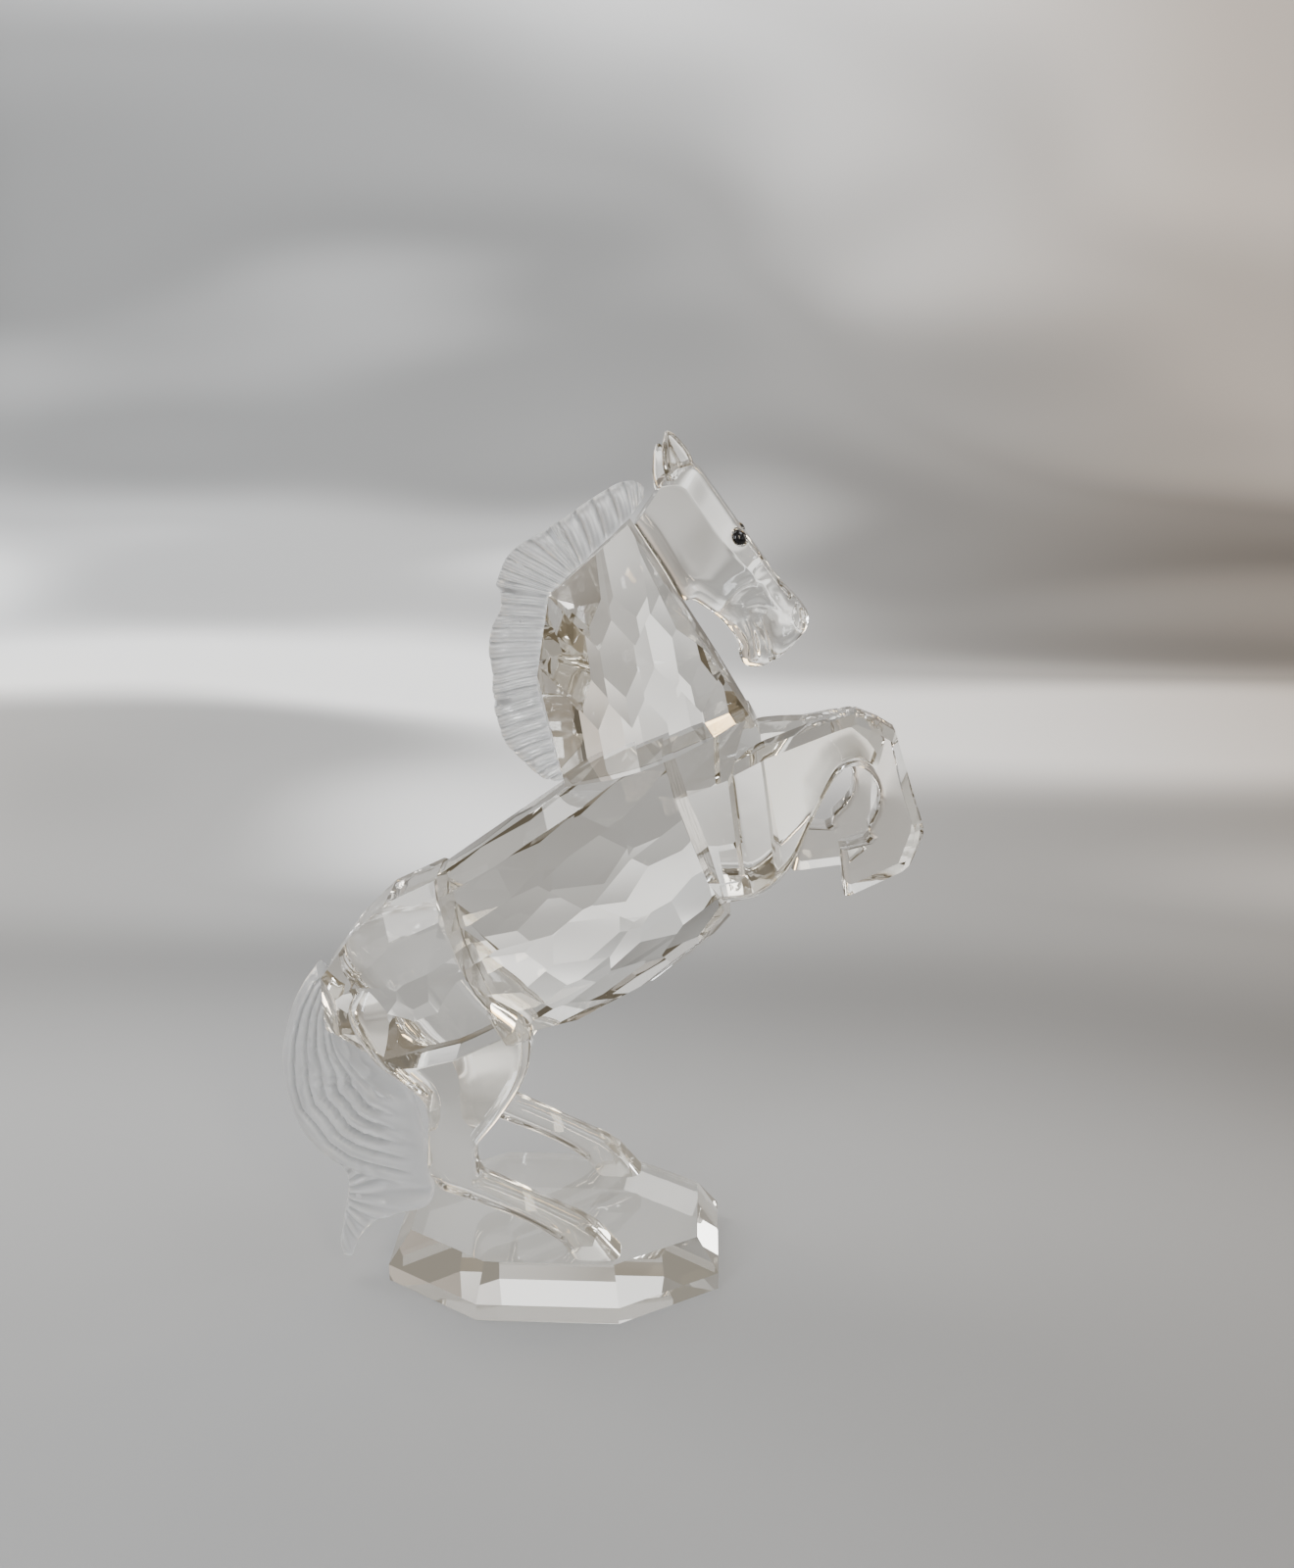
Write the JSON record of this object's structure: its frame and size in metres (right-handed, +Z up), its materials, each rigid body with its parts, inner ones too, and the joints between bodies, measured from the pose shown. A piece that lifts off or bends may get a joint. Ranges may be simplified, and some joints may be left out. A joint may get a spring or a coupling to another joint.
{
  "type": "rearing horse figurine",
  "caption": "Rearing horse figurine of clear faceted crystal with a frosted mane and tail, standing on a bevelled elongated octagonal foot plate.",
  "frame": {"origin": "centre of the foot plate's underside, on the surface the figurine stands on", "axes": "+Z up, +X forwards, the way the horse faces, along the foot plate's long side, +Y towards the horse's left"},
  "size_m": [0.091, 0.0344, 0.1251],
  "materials": {
    "crystal_base": "clear polished crystal with cut bevels",
    "crystal_hindquarters": "clear polished crystal, rounded edges",
    "crystal_body": "clear polished crystal, cut in staggered facets",
    "crystal_forelegs": "clear polished crystal, bevelled edges",
    "crystal_neck": "clear polished crystal, cut in long facets",
    "crystal_head": "clear polished crystal, moulded and fire polished",
    "frosted_mane": "satin frosted crystal, finely grooved",
    "frosted_tail": "satin frosted crystal, deeply grooved",
    "jet_left": "glossy black glass bead",
    "jet_right": "glossy black glass bead"
  },
  "bodies": {
    "root": {"base": "crystal_base", "hindquarters": "crystal_hindquarters", "body": "crystal_body", "forelegs": "crystal_forelegs", "neck": "crystal_neck", "head": "crystal_head", "mane": "frosted_mane", "tail": "frosted_tail", "eye_left": "jet_left", "eye_right": "jet_right"}
  },
  "joints": []
}
